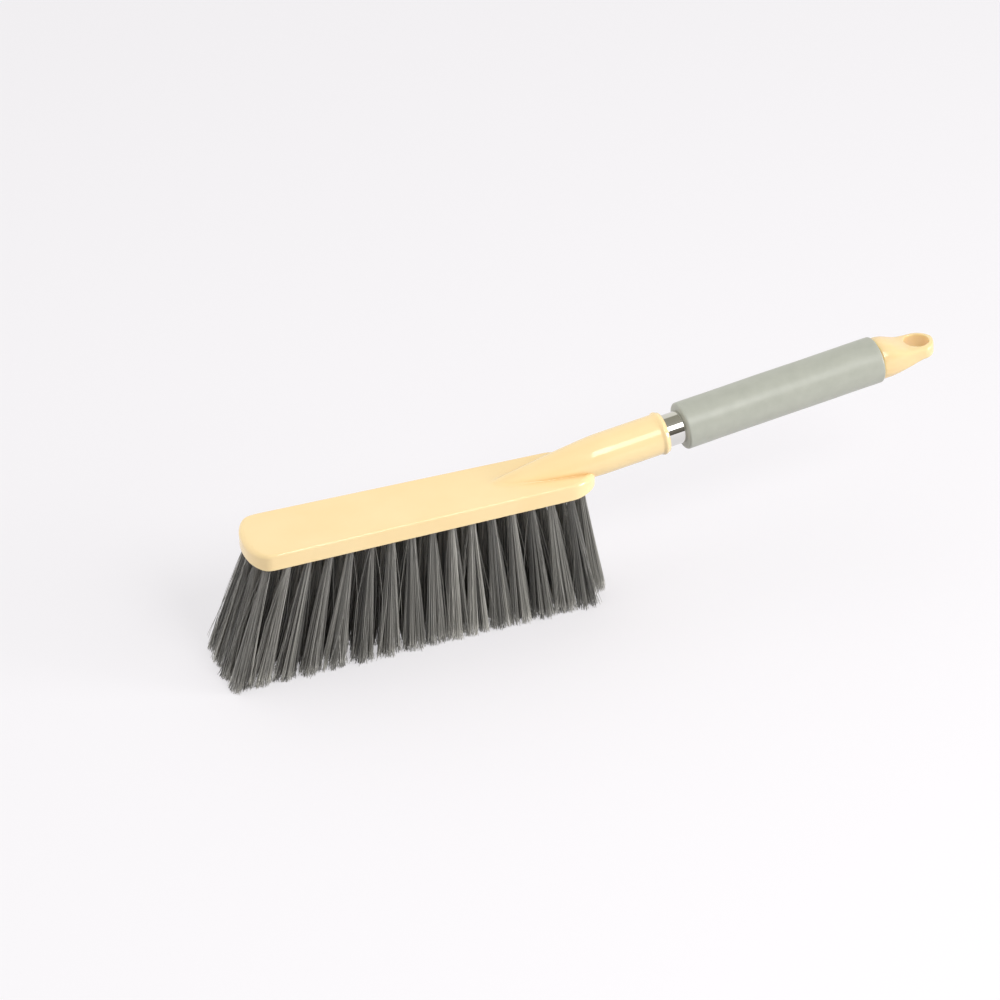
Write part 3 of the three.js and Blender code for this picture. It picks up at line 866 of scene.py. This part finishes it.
rings = []
for station in range(40):
    along = LOOP_CENTRE * station / 40
    rings.append(cap_ring(along, COLLAR_RADIUS + (LOOP_RADIUS - COLLAR_RADIUS) * ease(along / LOOP_CENTRE)))
for station in range(24):
    angle = math.pi / 2 * station / 24
    rings.append(cap_ring(LOOP_CENTRE + LOOP_RADIUS * math.sin(angle), LOOP_RADIUS * math.cos(angle)))
rings.append(cap_ring(CAP_LENGTH, LOOP_RADIUS / 80))
cap = loft("end_cap_loop", rings)

# Hanging eye, a little longer than wide
EYE_HALF_LENGTH = 7.4 * MM
EYE_HALF_WIDTH = 6.8 * MM
place = (CAP_START + LOOP_CENTRE, 0, 0)
bpy.ops.mesh.primitive_cylinder_add(vertices=96, radius=EYE_HALF_LENGTH, depth=40 * MM, location=place)
eye = bpy.context.object
eye.scale = (1, EYE_HALF_WIDTH / EYE_HALF_LENGTH, 1)
bpy.ops.object.transform_apply()
combine(cap, eye, "DIFFERENCE")

# Plug with three barbed ribs that grip the inside of the tube
PLUG_LENGTH = 22 * MM
PLUG_RADIUS = 8.1 * MM
PLUG_OVERLAP = 2 * MM
RIB_RADIUS = 8.6 * MM
RIB_PITCH = 5.5 * MM
RIB_RAMP = 1.2 * MM
plug_start = CAP_START - PLUG_LENGTH
profile = [(plug_start, 0), (plug_start, PLUG_RADIUS)]
for rib in range(3):
    foot = plug_start + (rib + 0.5) * RIB_PITCH
    profile += [(foot, PLUG_RADIUS), (foot + RIB_RAMP, RIB_RADIUS)]
    profile += [(foot + 2 * RIB_RAMP, RIB_RADIUS), (foot + 2 * RIB_RAMP, PLUG_RADIUS)]
profile += [(CAP_START + PLUG_OVERLAP, PLUG_RADIUS), (CAP_START + PLUG_OVERLAP, 0)]
plug = turn("plug", profile, 64)
combine(cap, plug, "UNION")
seat_on_handle(cap)

# One skin over plug, collar and loop, with its edges softened as a mould leaves them
skinned = cap.modifiers.new("skin", "REMESH")
skinned.mode = "VOXEL"
skinned.voxel_size = 0.33 * MM
bpy.ops.object.modifier_apply(modifier=skinned.name)
softened = cap.modifiers.new("ease", "SMOOTH")
softened.factor = 0.5
softened.iterations = 8
bpy.ops.object.modifier_apply(modifier=softened.name)
bpy.ops.object.shade_smooth()

# The same cream polypropylene, its colours painted a tone deeper as painted shade, since the cap stands in
# more light than the block. The loop is thin enough to let some light through, so that its shaded sides and
# the inside of its eye glow a little, and a brighter warm colour is painted into its eye as a painted glow.
# Painted light: the two cloud colours are painted darker than the block's, and the third, brighter one is a
# painted glow in the eye and other hollows.
cap_cream = moulded_cream("moulded_polypropylene_cap", ["#F6D59F", "#F8DAA7"], "#FFDA98")
shader = cap_cream.node_tree.nodes["Principled BSDF"]
shader.inputs["Subsurface Weight"].default_value = 0.4
shader.inputs["Subsurface Radius"].default_value = (1.0, 0.8, 0.55)
shader.inputs["Subsurface Scale"].default_value = 5 * MM
cap.data.materials.clear()
cap.data.materials.append(cap_cream)
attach(cap, "root")
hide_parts("end_cap")
